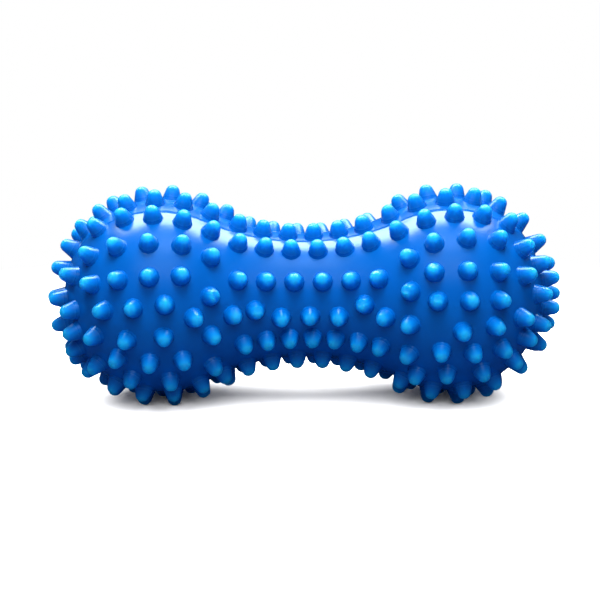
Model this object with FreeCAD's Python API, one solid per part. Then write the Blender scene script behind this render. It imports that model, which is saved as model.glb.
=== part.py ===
import FreeCAD, Part
import math
import os

# A peanut massage ball: two round lobes joined by a waist, with blunt nubs all over, moulded in one
# piece of soft PVC. Millimetres. It lies on its nubs as on a table: X runs along it, -Y is the front,
# +Z is up, and the origin is on the table under the middle of the waist.

# Body
lobe_radius = 30.2
lobe_reach = 44.4
waist_radius = 19.3

# The skin is worked in flats, so that a studded ball stays light to mesh
flats_round = 32
flats_along = 30
end_flat_reach = 2.4

# Nub: a blunt stud whose sides draw in to a rounded tip. From a lobe's middle to its end they grow taller.
nub_height = 4.5
end_nub_height = 5.6
nub_growth_start = 50.0
nub_base_radius = 3.15
nub_shoulder_share = 0.7
nub_shoulder_radius = 2.1
nub_tip_radius = 1.15
nub_sides = 6
nub_sink = 0.7

# The two mould halves meet in a plane through both ends, leaned forward from upright. The nub on each end
# is turned square to it.
parting_lean = 23.0
end_angle = 90.0

# The nubs are laid out on a skin of this length from the waist's middle to either end, and the layout
# stretches to the ball's own length
layout_length = 93.60102

# Rows of nubs on one mould half, each running along the ball at an angle past the parting plane:
# (angle, first station, pitch, count, drift). A station is the distance along the skin from the waist's
# middle, and drift is what the angle gains from nub to nub.
waist_rows = [
    (15.0, -20.3, 8.2, 6, 0.0),
    (46.0, -20.2, 8.6, 6, 0.0),
    (72.5, -21.8, 6.9, 2, -2.5),
    (77.5, -7.0, 8.7, 3, -0.5),
    (65.5, 18.3, 6.6, 2, 8.5),
    (98.0, -18.7, 7.05, 7, 0.0),
    (129.0, -26.0, 7.9, 7, 0.0),
    (171.0, -20.7, 7.9, 6, 0.0),
]
left_rows = [
    (10.3, 29.2, 8.9, 5, -1.7),
    (27.0, 38.0, 9.7, 4, 0.0),
    (46.0, 38.0, 9.3, 4, 1.0),
    (62.5, 42.7, 9.4, 3, 2.0),
    (81.0, 43.3, 11.0, 3, 2.5),
    (97.5, 38.1, 9.7, 3, 0.0),
    (113.0, 42.5, 11.4, 3, 0.0),
    (127.0, 33.6, 8.7, 5, 0.5),
    (149.0, 25.3, 8.8, 5, -0.2),
    (169.0, 29.9, 8.6, 4, 0.0),
    (161.0, 64.4, 6.9, 3, 0.0),
]
right_rows = [
    (12.0, 29.8, 8.6, 5, -2.3),
    (27.5, 40.3, 9.7, 4, -2.4),
    (45.0, 40.0, 9.8, 4, -0.5),
    (61.5, 40.9, 9.4, 3, 0.0),
    (79.0, 48.4, 9.9, 3, -1.5),
    (91.5, 42.4, 9.3, 4, 1.4),
    (107.5, 44.4, 10.5, 3, 1.2),
    (127.0, 41.0, 9.1, 4, -0.7),
    (148.8, 32.0, 8.7, 4, -0.9),
    (169.5, 27.6, 8.7, 3, 0.2),
    (163.7, 53.6, 8.2, 3, -3.5),
]
# Rings of nubs on one mould half, at the neck and round each end: (station, first angle, pitch angle, count)
left_rings = [
    (28.9, 31.5, 26.5, 4),
    (34.2, 71.0, 0.0, 1),
    (75.5, 36.5, 35.0, 2),
    (74.5, 93.0, 22.5, 3),
    (84.3, 62.0, 57.0, 3),
]
right_rings = [
    (32.8, 35.0, 20.8, 4),
    (35.6, 113.5, 0.0, 1),
    (31.5, 128.0, 0.0, 1),
    (77.5, 24.0, 34.5, 5),
    (85.0, 27.0, 60.0, 3),
]

# Worked out from the sizes above: the waist's hollow is an arc that meets each lobe without a corner
waist_hollow = (lobe_reach ** 2 + waist_radius ** 2 - lobe_radius ** 2) / (2 * (lobe_radius - waist_radius))
hollow_height = waist_radius + waist_hollow
hollow_angle = math.atan2(lobe_reach, hollow_height)
hollow_length = waist_hollow * hollow_angle
end_station = hollow_length + lobe_radius * (math.pi / 2 + hollow_angle)
layout_stretch = end_station / layout_length


def spot(station):
    """Place on the outline and lean of its normal, for a distance along the skin from the middle."""
    side = math.copysign(1.0, station)
    along = abs(station)
    if along < hollow_length:
        turn = along / waist_hollow
        place = (waist_hollow * math.sin(turn), hollow_height - waist_hollow * math.cos(turn))
        lean = -turn
    else:
        lean = (along - hollow_length) / lobe_radius - hollow_angle
        place = (lobe_reach + lobe_radius * math.sin(lean), lobe_radius * math.cos(lean))
    return side * place[0], place[1], side * lean


def outward(angle):
    """Direction away from the long axis, at an angle past the parting plane."""
    turn = math.radians(parting_lean + angle)
    return FreeCAD.Vector(0, -math.sin(turn), math.cos(turn))


def solid_from(outlines):
    """Closed solid from the corners of its flat faces."""
    faces = [Part.Face(Part.makePolygon(points + points[:1])) for points in outlines]
    return Part.makeSolid(Part.makeShell(faces))


def between(rings):
    """Outlines of the flats between rings of corners, and of the two end rings themselves."""
    outlines = [rings[0], rings[-1]]
    for low, high in zip(rings, rings[1:]):
        for here in range(len(low)):
            after = (here + 1) % len(low)
            outlines.append([low[here], low[after], high[after], high[here]])
    return outlines


def body():
    """The bare ball: rings of corners on the outline, turned about the long axis."""
    last = end_station - end_flat_reach
    rings = []
    for step in range(flats_along + 1):
        x, out, lean = spot(-last + 2 * last * step / flats_along)
        ring = [outward(360 * (side + 0.5) / flats_round) * out for side in range(flats_round)]
        rings.append([FreeCAD.Vector(x, 0, 0) + corner for corner in ring])
    return solid_from(between(rings))


def height_at(station):
    """Height of the nub at a station of the layout."""
    share = (abs(station) - nub_growth_start) / (layout_length - nub_growth_start)
    return nub_height + (end_nub_height - nub_height) * max(share, 0.0)


def nub(height):
    """One stud on the origin, standing along Z, with flat sides that draw in twice."""
    sections = [
        (-nub_sink, nub_base_radius),
        (height * nub_shoulder_share, nub_shoulder_radius),
        (height, nub_tip_radius),
    ]
    rings = []
    for level, radius in sections:
        ring = []
        for side in range(nub_sides):
            turn = 2 * math.pi * side / nub_sides
            ring.append(FreeCAD.Vector(radius * math.cos(turn), radius * math.sin(turn), level))
        rings.append(ring)
    return solid_from(between(rings))


def placed_nub(station, angle):
    """A stud moved out to the skin, standing square to it, at a station of the layout."""
    x, out, lean = spot(station * layout_stretch)
    outwards = outward(angle)
    normal = outwards * math.cos(lean) + FreeCAD.Vector(math.sin(lean), 0, 0)
    along = FreeCAD.Vector(math.cos(lean), 0, 0) - outwards * math.sin(lean)
    turn = FreeCAD.Rotation(along, FreeCAD.Vector(0, 0, 0), normal, "ZXY")
    stud = nub(height_at(station))
    stud.Placement = FreeCAD.Placement(FreeCAD.Vector(x, 0, 0) + outwards * out, turn)
    return stud


def half_layout():
    """Station and angle of every nub on one mould half."""
    places = []
    for rows, side in ((waist_rows, 1), (left_rows, -1), (right_rows, 1)):
        for angle, first, pitch, count, drift in rows:
            places += [(side * (first + pitch * step), angle + drift * step) for step in range(count)]
    for rings, side in ((left_rings, -1), (right_rings, 1)):
        for station, first, pitch, count in rings:
            places += [(side * station, first + pitch * step) for step in range(count)]
    return places


def layout():
    """Both halves of the mould are cut alike, and each end carries one more nub on the axis."""
    half = half_layout()
    other_half = [(station, angle + 180) for station, angle in half]
    ends = [(-layout_length, end_angle), (layout_length, end_angle)]
    return half + other_half + ends


places = layout()
ball = body().fuse([placed_nub(station, angle) for station, angle in places])
# Its lowest nub tips stand on the table
ball.translate(FreeCAD.Vector(0, 0, -ball.BoundBox.ZMin))
os.makedirs("parts", exist_ok=True)
ball.exportStep("parts/peanut_ball.step")
print("nubs", len(places), "solids", len(ball.Solids), "volume", round(ball.Volume / 1000, 1), "cm3")
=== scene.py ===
import math
import random

import bpy
from mathutils import Matrix, Vector


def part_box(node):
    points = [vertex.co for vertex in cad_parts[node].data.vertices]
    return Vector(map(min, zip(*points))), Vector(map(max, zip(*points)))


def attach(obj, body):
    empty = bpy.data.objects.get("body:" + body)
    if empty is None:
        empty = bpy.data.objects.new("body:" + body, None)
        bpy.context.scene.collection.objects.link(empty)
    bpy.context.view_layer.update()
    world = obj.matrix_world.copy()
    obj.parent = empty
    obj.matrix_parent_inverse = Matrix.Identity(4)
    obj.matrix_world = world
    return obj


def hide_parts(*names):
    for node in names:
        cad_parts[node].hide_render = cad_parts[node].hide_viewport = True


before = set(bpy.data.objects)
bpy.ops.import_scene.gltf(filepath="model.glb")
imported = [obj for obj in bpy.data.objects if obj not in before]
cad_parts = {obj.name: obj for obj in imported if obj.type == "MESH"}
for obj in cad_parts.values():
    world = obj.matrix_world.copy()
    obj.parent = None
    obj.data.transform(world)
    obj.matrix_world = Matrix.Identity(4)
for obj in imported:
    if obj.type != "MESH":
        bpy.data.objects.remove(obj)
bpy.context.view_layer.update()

mm = 0.001
touching = 0.02 * mm     # what is closer than this counts as touching
low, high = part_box("peanut_ball")
middle = Vector((0, 0, (low.z + high.z) / 2))
print("frame loaded")


# Small helpers

def linearColour(hexValue):
    channels = [int(hexValue[i:i + 2], 16) / 255 for i in (1, 3, 5)]
    return tuple(c / 12.92 if c <= 0.04045 else ((c + 0.055) / 1.055) ** 2.4 for c in channels) + (1.0,)


def addNode(tree, kind, settings=None, inputs=None, links=None):
    node = tree.nodes.new(kind)
    for name, value in (settings or {}).items():
        setattr(node, name, value)
    for socket, value in (inputs or {}).items():
        node.inputs[socket].default_value = value
    for socket, source in (links or {}).items():
        tree.links.new(source, node.inputs[socket])
    return node


def newMaterial(name):
    material = bpy.data.materials.new(name)
    material.use_nodes = True
    material.node_tree.nodes.clear()
    return material, material.node_tree


def deselectAll():
    bpy.ops.object.select_all(action="DESELECT")


def makeActive(obj):
    deselectAll()
    obj.select_set(True)
    bpy.context.view_layer.objects.active = obj


def applyModifier(obj, kind, name, **settings):
    modifier = obj.modifiers.new(name, kind)
    for key, value in settings.items():
        setattr(modifier, key, value)
    makeActive(obj)
    bpy.ops.object.modifier_apply(modifier=name)


# Ball: its outline and the places of its nubs, in millimetres. A station is the distance along the skin
# from the waist's middle.

ball = {
    "lobeRadius": 30.2,
    "lobeReach": 44.4,       # from the waist's middle to a lobe's
    "waistRadius": 19.3,
    "partingLean": 23.0,     # degrees that the parting plane leans forward from upright
    "stepsRound": 160,       # even, so that the parting plane meets two columns
    "outlineStep": 1.2,      # spacing of the outline's points along the skin
    "endAngle": 90.0,        # the nub on either end is turned square to the parting plane
    # rows on one mould half: angle past the parting plane, first station, pitch, count, drift of the angle
    "waistRows": [
        (15.0, -20.3, 8.2, 6, 0.0),
        (46.0, -20.2, 8.6, 6, 0.0),
        (72.5, -21.8, 6.9, 2, -2.5),
        (77.5, -7.0, 8.7, 3, -0.5),
        (65.5, 18.3, 6.6, 2, 8.5),
        (98.0, -18.7, 7.05, 7, 0.0),
        (129.0, -26.0, 7.9, 7, 0.0),
        (171.0, -20.7, 7.9, 6, 0.0),
    ],
    "leftRows": [
        (10.3, 29.2, 8.9, 5, -1.7),
        (27.0, 38.0, 9.7, 4, 0.0),
        (46.0, 38.0, 9.3, 4, 1.0),
        (62.5, 42.7, 9.4, 3, 2.0),
        (81.0, 43.3, 11.0, 3, 2.5),
        (97.5, 38.1, 9.7, 3, 0.0),
        (113.0, 42.5, 11.4, 3, 0.0),
        (127.0, 33.6, 8.7, 5, 0.5),
        (149.0, 25.3, 8.8, 5, -0.2),
        (169.0, 29.9, 8.6, 4, 0.0),
        (161.0, 64.4, 6.9, 3, 0.0),
    ],
    "rightRows": [
        (12.0, 29.8, 8.6, 5, -2.3),
        (27.5, 40.3, 9.7, 4, -2.4),
        (45.0, 40.0, 9.8, 4, -0.5),
        (61.5, 40.9, 9.4, 3, 0.0),
        (79.0, 48.4, 9.9, 3, -1.5),
        (91.5, 42.4, 9.3, 4, 1.4),
        (107.5, 44.4, 10.5, 3, 1.2),
        (127.0, 41.0, 9.1, 4, -0.7),
        (148.8, 32.0, 8.7, 4, -0.9),
        (169.5, 27.6, 8.7, 3, 0.2),
        (163.7, 53.6, 8.2, 3, -3.5),
    ],
    # rings on one mould half: station, first angle, pitch angle, count
    "leftRings": [
        (28.9, 31.5, 26.5, 4),
        (34.2, 71.0, 0.0, 1),
        (75.5, 36.5, 35.0, 2),
        (74.5, 93.0, 22.5, 3),
        (84.3, 62.0, 57.0, 3),
    ],
    "rightRings": [
        (32.8, 35.0, 20.8, 4),
        (35.6, 113.5, 0.0, 1),
        (31.5, 128.0, 0.0, 1),
        (77.5, 24.0, 34.5, 5),
        (85.0, 27.0, 60.0, 3),
    ],
}

# the waist's hollow is an arc that meets each lobe without a corner
hollowRadius = (ball["lobeReach"] ** 2 + ball["waistRadius"] ** 2 - ball["lobeRadius"] ** 2) \
    / (2 * (ball["lobeRadius"] - ball["waistRadius"]))
hollowHeight = ball["waistRadius"] + hollowRadius
hollowAngle = math.atan2(ball["lobeReach"], hollowHeight)
hollowLength = hollowRadius * hollowAngle
endStation = hollowLength + ball["lobeRadius"] * (math.pi / 2 + hollowAngle)


def outlineAt(station):
    # place along the axis, distance out from it, and lean of the normal
    side = math.copysign(1.0, station)
    along = abs(station)
    if along < hollowLength:
        turn = along / hollowRadius
        out = hollowHeight - hollowRadius * math.cos(turn)
        return side * hollowRadius * math.sin(turn), out, -side * turn
    lean = (along - hollowLength) / ball["lobeRadius"] - hollowAngle
    x = ball["lobeReach"] + ball["lobeRadius"] * math.sin(lean)
    return side * x, ball["lobeRadius"] * math.cos(lean), side * lean


def outwardAt(angle):
    turn = math.radians(ball["partingLean"] + angle)
    return Vector((0, -math.sin(turn), math.cos(turn)))


def overSkin(point):
    # height over the skin and distance from the waist's middle along it, for a point round the axis
    x = abs(point.x) / mm
    out = math.hypot(point.y, point.z) / mm
    turn = math.atan2(x, hollowHeight - out)
    if turn < hollowAngle:
        return hollowRadius - math.hypot(x, hollowHeight - out), hollowRadius * turn
    lean = math.atan2(x - ball["lobeReach"], out)
    return math.hypot(x - ball["lobeReach"], out) - ball["lobeRadius"], \
        hollowLength + ball["lobeRadius"] * (lean + hollowAngle)


def nubPlaces():
    # both mould halves are cut alike, and each end carries one more nub on the axis
    half = []
    for rows, side in (("waistRows", 1), ("leftRows", -1), ("rightRows", 1)):
        for angle, first, pitch, count, drift in ball[rows]:
            half += [(side * (first + pitch * i), angle + drift * i) for i in range(count)]
    for rings, side in (("leftRings", -1), ("rightRings", 1)):
        for station, first, pitch, count in ball[rings]:
            half += [(side * station, first + pitch * i) for i in range(count)]
    otherHalf = [(station, angle + 180) for station, angle in half]
    return half + otherHalf + [(-endStation, ball["endAngle"]), (endStation, ball["endAngle"])]


# Skin: the outline spun round the long axis, with the mould's parting line raised on it

seam = {
    "width": 0.6,            # of the strip that the line and its feet take
    "height": 0.22,
    "segments": 2,           # even, so that a column of points runs along the line's middle
    "clearOfEnds": 3.0,      # along the axis, where the line stops short of the ball's ends
    "runOut": 1.0,           # along the axis, its last stretch there, which isn't raised
}


def spinSkin():
    count = round(2 * endStation / ball["outlineStep"])
    partingUp = outwardAt(0)
    points = []
    for i in range(count + 1):
        x, out = outlineAt(-endStation + 2 * endStation * i / count)[:2]
        points.append((Vector((x, 0, 0)) + partingUp * max(out, 0)) * mm)
    mesh = bpy.data.meshes.new("skin")
    mesh.from_pydata(points, [(i, i + 1) for i in range(count)], [])
    skin = bpy.data.objects.new("skin", mesh)
    bpy.context.collection.objects.link(skin)
    makeActive(skin)
    bpy.ops.object.mode_set(mode="EDIT")
    bpy.ops.mesh.select_all(action="SELECT")
    bpy.ops.mesh.spin(steps=ball["stepsRound"], angle=2 * math.pi, center=(0, 0, 0), axis=(1, 0, 0))
    bpy.ops.mesh.select_all(action="SELECT")
    bpy.ops.mesh.remove_doubles(threshold=touching)
    bpy.ops.mesh.normals_make_consistent(inside=False)
    bpy.ops.object.mode_set(mode="OBJECT")
    return skin


def raiseSeam(skin):
    partingNormal = outwardAt(90)
    reach = (outlineAt(endStation)[0] - seam["clearOfEnds"]) * mm
    makeActive(skin)
    bpy.ops.object.mode_set(mode="EDIT")
    bpy.ops.mesh.select_mode(type="EDGE")
    bpy.ops.mesh.select_all(action="DESELECT")
    bpy.ops.object.mode_set(mode="OBJECT")
    vertices = skin.data.vertices
    for edge in skin.data.edges:
        ends = [vertices[i].co for i in edge.vertices]
        onPlane = all(abs(end.dot(partingNormal)) < touching for end in ends)
        edge.select = onPlane and all(abs(end.x) < reach for end in ends)
    bpy.ops.object.mode_set(mode="EDIT")
    bpy.ops.mesh.bevel(offset=seam["width"] / 2 * mm, segments=seam["segments"], affect="EDGES")
    bpy.ops.object.mode_set(mode="OBJECT")
    raisedReach = reach - seam["runOut"] * mm
    for vertex in skin.data.vertices:
        if abs(vertex.co.dot(partingNormal)) < touching and abs(vertex.co.x) < raisedReach:
            outwards = Vector((0, vertex.co.y, vertex.co.z)).normalized()
            vertex.co += outwards * seam["height"] * mm


# Nub: rings drawn up from a circle, a plain cone with a domed tip that meets the skin in a crisp edge

nub = {
    "sides": 12,
    "crispOver": 40.0,       # degrees, edges that fold more than this stay sharp
    "height": 4.5,
    "endHeight": 5.6,        # nubs stand taller towards the ends
    "growthStart": 50.0,     # station from which they grow
    "rings": [               # height over the skin and radius
        (-0.2, 3.22),
        (0.5, 2.96),
        (3.3, 2.0),
        (3.98, 1.52),
        (4.38, 0.8),
    ],
    "rootFollows": (0.5, 3.0),   # up to the first height it lies to the skin, from the second it is round
    "leanWobble": 2.0,       # degrees, soft nubs never stand quite true
    "heightWobble": 0.012,   # share of their height that they fall short by, more or less
    "seed": 7,
    "pressed": [             # flawed tips: station and angle, degrees across the tip, off its middle, depth
        (-28.9, 58.0, 20.0, 0.4, 0.6),
        (32.8, 55.8, 70.0, 0.3, 0.5),
        (-14.9, 70.0, 90.0, 1.1, 0.45),
        (18.3, 65.5, 110.0, 1.1, 0.45),
        (40.9, 61.5, 90.0, 1.2, 0.45),
        (40.0, 45.0, 80.0, 1.4, 0.4),
        (49.8, 44.5, 30.0, 1.5, 0.5),
    ],
    "pressWidth": 1.3,
    "pressedOver": 0.8,      # share of the height, only the tip is pressed
    "sameNub": 0.5,          # a flaw sits on the nub whose station and angle are within this
}


def nubHeightAt(station):
    share = (abs(station) - nub["growthStart"]) / (endStation - nub["growthStart"])
    return nub["height"] + (nub["endHeight"] - nub["height"]) * max(share, 0)


def drawUp(rise):
    bpy.ops.mesh.extrude_region_move(TRANSFORM_OT_translate={"value": (0, 0, rise * mm)})


def makeNub():
    deselectAll()
    height, radius = nub["rings"][0]
    bpy.ops.mesh.primitive_circle_add(vertices=nub["sides"], radius=radius * mm, fill_type="NGON",
                                      location=(0, 0, height * mm))
    stud = bpy.context.active_object
    stud.name = "nub"
    bpy.ops.object.transform_apply(location=True, rotation=True, scale=True)
    bpy.ops.object.mode_set(mode="EDIT")
    bpy.ops.mesh.select_all(action="SELECT")
    for nextHeight, nextRadius in nub["rings"][1:]:
        drawUp(nextHeight - height)
        ratio = nextRadius / radius
        bpy.ops.transform.resize(value=(ratio, ratio, 1), center_override=(0, 0, nextHeight * mm))
        height, radius = nextHeight, nextRadius
    drawUp(nub["height"] - height)
    bpy.ops.mesh.merge(type="CENTER")
    bpy.ops.mesh.select_all(action="SELECT")
    bpy.ops.mesh.normals_make_consistent(inside=False)
    bpy.ops.object.mode_set(mode="OBJECT")
    return stud


def pressTip(mesh, station, angle):
    # a few tips came out of the mould with a groove or with one side flat
    tipFrom = nub["pressedOver"] * nub["height"] * mm
    for atStation, atAngle, direction, offMiddle, depth in nub["pressed"]:
        if math.hypot(station - atStation, angle - atAngle) < nub["sameNub"]:
            turn = math.radians(direction)
            for vertex in mesh.vertices:
                across = (vertex.co.x * math.cos(turn) + vertex.co.y * math.sin(turn)) / mm
                if vertex.co.z > tipFrom and abs(across - offMiddle) < nub["pressWidth"] / 2:
                    vertex.co.z -= depth * mm


def shapeNub(mesh, stretch, leanAlong, leanAcross):
    # stretched to its height and leaned, with its root left where it stands
    for vertex in mesh.vertices:
        height = vertex.co.z
        if height > 0:
            vertex.co += Vector((height * leanAlong, height * leanAcross, height * (stretch - 1)))


def seatNub(mesh, stud, normal):
    # the root's rings are laid to the skin
    full, none = nub["rootFollows"]
    for vertex, drawn in zip(mesh.vertices, stud.vertices):
        height = drawn.co.z / mm
        follow = min(max((none - height) / (none - full), 0), 1)
        if follow > 0:
            vertex.co += normal * (height - overSkin(vertex.co)[0]) * follow * mm


def placeNubs(stud):
    random.seed(nub["seed"])
    copies = []
    wobble = math.radians(nub["leanWobble"])
    for station, angle in nubPlaces():
        x, out, lean = outlineAt(station)
        outwards = outwardAt(angle)
        normal = outwards * math.cos(lean) + Vector((math.sin(lean), 0, 0))
        along = Vector((math.cos(lean), 0, 0)) - outwards * math.sin(lean)
        turned = Matrix((along, normal.cross(along), normal)).transposed().to_4x4()
        foot = (Vector((x, 0, 0)) + outwards * out) * mm
        stretch = nubHeightAt(station) / nub["height"] * (1 - abs(random.gauss(0, nub["heightWobble"])))
        copy = stud.copy()
        copy.data = stud.data.copy()
        pressTip(copy.data, station, angle)
        shapeNub(copy.data, stretch, random.uniform(-wobble, wobble), random.uniform(-wobble, wobble))
        copy.data.transform(Matrix.Translation(foot) @ turned)
        seatNub(copy.data, stud.data, normal)
        bpy.context.collection.objects.link(copy)
        copies.append(copy)
    bpy.data.objects.remove(stud)
    deselectAll()
    for copy in copies:
        copy.select_set(True)
    bpy.context.view_layer.objects.active = copies[0]
    bpy.ops.object.join()
    return bpy.context.active_object


def weldBall():
    skin = spinSkin()
    raiseSeam(skin)
    print("skin spun:", len(skin.data.polygons), "faces")
    studs = placeNubs(makeNub())
    print("nubs placed:", len(studs.data.polygons), "faces")
    applyModifier(skin, "BOOLEAN", "weld", operation="UNION", solver="MANIFOLD", object=studs)
    bpy.data.objects.remove(studs)
    print("ball welded:", len(skin.data.polygons), "faces")
    return skin


def paintNubHeight(obj):
    # 0 on the skin, 1 on a nub's tip
    layer = obj.data.attributes.new("nubHeight", "FLOAT", "POINT")
    for vertex in obj.data.vertices:
        height, station = overSkin(vertex.co)
        layer.data[vertex.index].value = min(max(height / nubHeightAt(station), 0), 1)


peanut = weldBall()
peanut.name = "peanutBall"
paintNubHeight(peanut)
peanut.data.transform(Matrix.Translation(middle))
makeActive(peanut)
bpy.ops.object.shade_smooth_by_angle(angle=math.radians(nub["crispOver"]))


# Soft PVC, moulded: an even blue with a satin skin. The nubs scatter light inside, and their colour is also
# painted paler towards the tip as a painted glow, where they are thin and let light through

softPvc = {
    "colourAndPaintedGlow": [              # share of the nub's height, colour: the PVC's own blue, painted paler up to the tip as painted glow
        (0.0, "#0060BC"),
        (0.35, "#0066C4"),
        (0.75, "#0286DC"),
        (1.0, "#2CA6EA"),
    ],
    "roughness": (0.25, 0.36),   # on the skin, and on a nub's tip
    "ior": 1.53,
    "gloss": 1.0,
    "glossTint": "#D8FAF8",
    "scatterDepth": 10.0,    # millimetres that light runs in a nub
    "scatterColours": (0.3, 0.9, 1.0),
    "scatterForward": 0.5,
    "scatterFrom": 0.35,     # share of the nub's height where it begins to glow
    "mottleSize": 2.5,       # millimetres, the faint unevenness of a skin that shrank as it cooled
    "mottleDepth": 0.02,
    "mottleDetail": 3.0,
}


def softPvcMaterial():
    material, tree = newMaterial("softPvcMoulded")
    height = addNode(tree, "ShaderNodeAttribute", {"attribute_name": "nubHeight"})
    glow = addNode(tree, "ShaderNodeMapRange", None, {"From Min": softPvc["scatterFrom"]},
                   {"Value": height.outputs["Fac"]})
    # the ramp paints the nubs paler towards their tips, a painted glow for the light they let through
    colourWithPaintedGlow = addNode(tree, "ShaderNodeValToRGB", None, None, {"Fac": height.outputs["Fac"]})
    ramp = colourWithPaintedGlow.color_ramp
    while len(ramp.elements) < len(softPvc["colourAndPaintedGlow"]):
        ramp.elements.new(0.5)   # anywhere, each gets its place below
    for element, (share, colour) in zip(ramp.elements, softPvc["colourAndPaintedGlow"]):
        element.position = share
        element.color = linearColour(colour)
    skinRoughness, tipRoughness = softPvc["roughness"]
    dullness = addNode(tree, "ShaderNodeMapRange", None, {"To Min": skinRoughness, "To Max": tipRoughness},
                       {"Value": height.outputs["Fac"]})
    place = addNode(tree, "ShaderNodeTexCoord")
    mottle = addNode(tree, "ShaderNodeTexNoise", None,
                     {"Scale": 1 / (softPvc["mottleSize"] * mm), "Detail": softPvc["mottleDetail"]},
                     {"Vector": place.outputs["Object"]})
    grain = addNode(tree, "ShaderNodeBump", None, {"Distance": softPvc["mottleDepth"] * mm},
                    {"Height": mottle.outputs["Fac"]})
    shader = addNode(tree, "ShaderNodeBsdfPrincipled", None,
                     {"IOR": softPvc["ior"], "Specular IOR Level": softPvc["gloss"],
                      "Specular Tint": linearColour(softPvc["glossTint"]),
                      "Subsurface Radius": softPvc["scatterColours"],
                      "Subsurface Anisotropy": softPvc["scatterForward"],
                      "Subsurface Scale": softPvc["scatterDepth"] * mm},
                     {"Base Color": colourWithPaintedGlow.outputs["Color"], "Subsurface Weight": glow.outputs["Result"],
                      "Roughness": dullness.outputs["Result"], "Normal": grain.outputs["Normal"]})
    addNode(tree, "ShaderNodeOutputMaterial", None, None, {"Surface": shader.outputs["BSDF"]})
    return material


peanut.data.materials.clear()
peanut.data.materials.append(softPvcMaterial())
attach(peanut, "root")
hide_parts("peanut_ball")
print("ball finished")


# Floor: white paper that runs on as far as the camera sees, keeping the ball's shadow

floor = {
    "size": 60.0,            # metres
    "paper": "#FAFAFA",
    "bounce": "#254A5C",     # what the strongly lit paper throws back up at the ball
    "mirrored": "#0C1016",   # what shows of it in the ball's gloss
    "shadowReach": 0.16,     # metres from under the waist, up to here the paper shows its lamp and the shadow
    "whiteFrom": 0.32,       # metres from there too, beyond this the camera sees plain white
}


def floorMaterial():
    # sockets 6 and 7 of a colour mix are its colours, and 0 is how much of the second shows
    material, tree = newMaterial("whitePaper")
    path = addNode(tree, "ShaderNodeLightPath")
    place = addNode(tree, "ShaderNodeTexCoord")
    distance = addNode(tree, "ShaderNodeVectorMath", {"operation": "LENGTH"}, None,
                       {0: place.outputs["Object"]})
    away = addNode(tree, "ShaderNodeMapRange", {"interpolation_type": "SMOOTHSTEP"},
                   {"From Min": floor["shadowReach"], "From Max": floor["whiteFrom"]},
                   {"Value": distance.outputs["Value"]})
    thrown = addNode(tree, "ShaderNodeMix", {"data_type": "RGBA"},
                     {6: linearColour(floor["mirrored"]), 7: linearColour(floor["bounce"])},
                     {0: path.outputs["Is Diffuse Ray"]})
    seen = addNode(tree, "ShaderNodeMix", {"data_type": "RGBA"}, {7: linearColour(floor["paper"])},
                   {0: path.outputs["Is Camera Ray"], 6: thrown.outputs[2]})
    lit = addNode(tree, "ShaderNodeBsdfDiffuse", None, None, {"Color": seen.outputs[2]})
    white = addNode(tree, "ShaderNodeEmission", None, {"Color": linearColour("#FFFFFF"), "Strength": 1.0})
    farSeen = addNode(tree, "ShaderNodeMath", {"operation": "MULTIPLY"}, None,
                      {0: away.outputs["Result"], 1: path.outputs["Is Camera Ray"]})
    mix = addNode(tree, "ShaderNodeMixShader", None, None,
                  {0: farSeen.outputs[0], 1: lit.outputs[0], 2: white.outputs[0]})
    addNode(tree, "ShaderNodeOutputMaterial", None, None, {"Surface": mix.outputs[0]})
    return material


def makeFloor():
    deselectAll()
    bpy.ops.mesh.primitive_plane_add(size=floor["size"], location=(0, 0, 0))
    sheet = bpy.context.active_object
    sheet.name = "paper"
    sheet.data.materials.append(floorMaterial())
    return sheet


paper = makeFloor()


# Light: three soft boxes for the ball, a wide one a little behind its top, which shows in its gloss, one
# over its front and a weak one lower in front, and a large soft box for the paper alone

lamps = {
    "distance": 0.9,         # metres from the ball's middle
    # elevation in degrees up from the front, so that over 90 is behind the ball
    "overhead": {"elevation": 114.0, "size": (1.2, 0.42), "power": 14.5, "mirrored": True},
    "top": {"elevation": 72.0, "size": (0.5, 0.35), "power": 9.5, "mirrored": False},
    "front": {"elevation": 44.0, "size": (0.8, 0.5), "power": 4.8, "mirrored": False},
    "paper": {"elevation": 64.0, "size": (1.6, 2.4), "power": 122.0, "mirrored": False},
    "worldStrength": 0.03,
}


def addSoftBox(name, settings):
    turn = math.radians(settings["elevation"])
    direction = Vector((0, -math.cos(turn), math.sin(turn)))
    sideways = Vector((1, 0, 0))
    light = bpy.data.lights.new(name, "AREA")
    light.shape = "RECTANGLE"
    light.size, light.size_y = settings["size"]
    light.energy = settings["power"]
    lamp = bpy.data.objects.new(name, light)
    bpy.context.collection.objects.link(lamp)
    turned = Matrix((sideways, direction.cross(sideways), direction)).transposed().to_4x4()
    lamp.matrix_world = Matrix.Translation(middle + direction * lamps["distance"]) @ turned
    lamp.visible_glossy = settings["mirrored"]
    lamp.visible_camera = False
    return lamp


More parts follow.
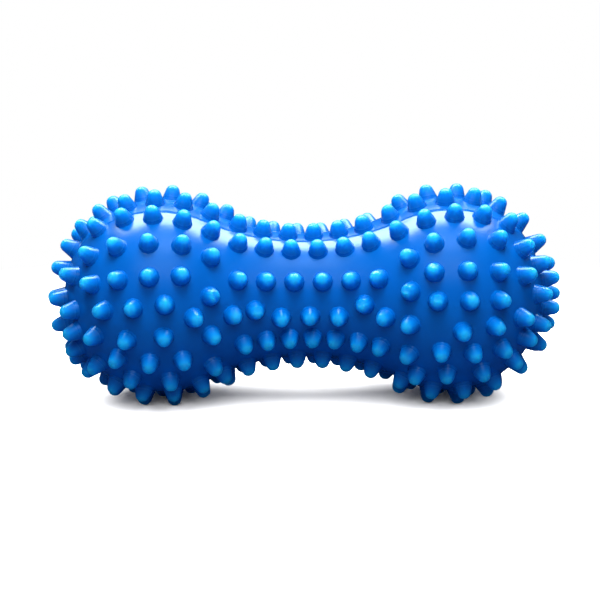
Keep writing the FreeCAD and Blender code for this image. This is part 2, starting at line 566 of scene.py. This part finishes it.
def lightAlone(names, receiver):
    # these lamps light one thing, and the other only stands in their way
    receivers = bpy.data.collections.new(receiver.name + "Alone")
    receivers.objects.link(receiver)
    for name in names:
        addSoftBox(name, lamps[name]).light_linking.receiver_collection = receivers


lightAlone(("overhead", "top", "front"), peanut)
lightAlone(("paper",), paper)


def makeWorld():
    # a faint room light, which the camera sees as white
    world = bpy.data.worlds.new("studio")
    bpy.context.scene.world = world
    world.use_nodes = True
    tree = world.node_tree
    tree.nodes.clear()
    path = addNode(tree, "ShaderNodeLightPath")
    strength = addNode(tree, "ShaderNodeMapRange", None, {"To Min": lamps["worldStrength"], "To Max": 1.0},
                       {"Value": path.outputs["Is Camera Ray"]})
    room = addNode(tree, "ShaderNodeBackground", None, {"Color": linearColour("#FFFFFF")},
                   {"Strength": strength.outputs["Result"]})
    addNode(tree, "ShaderNodeOutputWorld", None, None, {"Surface": room.outputs[0]})


makeWorld()
print("floor and lamps set")


# Camera: low in front of the ball, looking a little down

camera = {
    "distance": 469.65,      # millimetres from the point it is aimed at
    "elevation": 10.0,       # degrees
    "roll": 0.0069,          # radians
    "lens": 90.0,
    "sensor": 36.0,
    "ballRight": 1.28,       # millimetres that the ball's middle stands right of the middle of the view
    "ballUp": 1.70,          # and over it
}


def makeCamera():
    turn = math.radians(camera["elevation"])
    back = Vector((0, -math.cos(turn), math.sin(turn)))
    right = Vector((1, 0, 0))
    up = back.cross(right)
    rolledRight = right * math.cos(camera["roll"]) - up * math.sin(camera["roll"])
    rolledUp = right * math.sin(camera["roll"]) + up * math.cos(camera["roll"])
    aim = middle - rolledRight * camera["ballRight"] * mm - rolledUp * camera["ballUp"] * mm
    lens = bpy.data.cameras.new("camera")
    lens.sensor_fit = "HORIZONTAL"
    lens.sensor_width = camera["sensor"]
    lens.lens = camera["lens"]
    eye = bpy.data.objects.new("camera", lens)
    bpy.context.collection.objects.link(eye)
    turned = Matrix((rolledRight, rolledUp, back)).transposed().to_4x4()
    eye.matrix_world = Matrix.Translation(aim + back * camera["distance"] * mm) @ turned
    bpy.context.scene.camera = eye


makeCamera()
bpy.context.scene.view_settings.view_transform = "Standard"
print("camera placed")
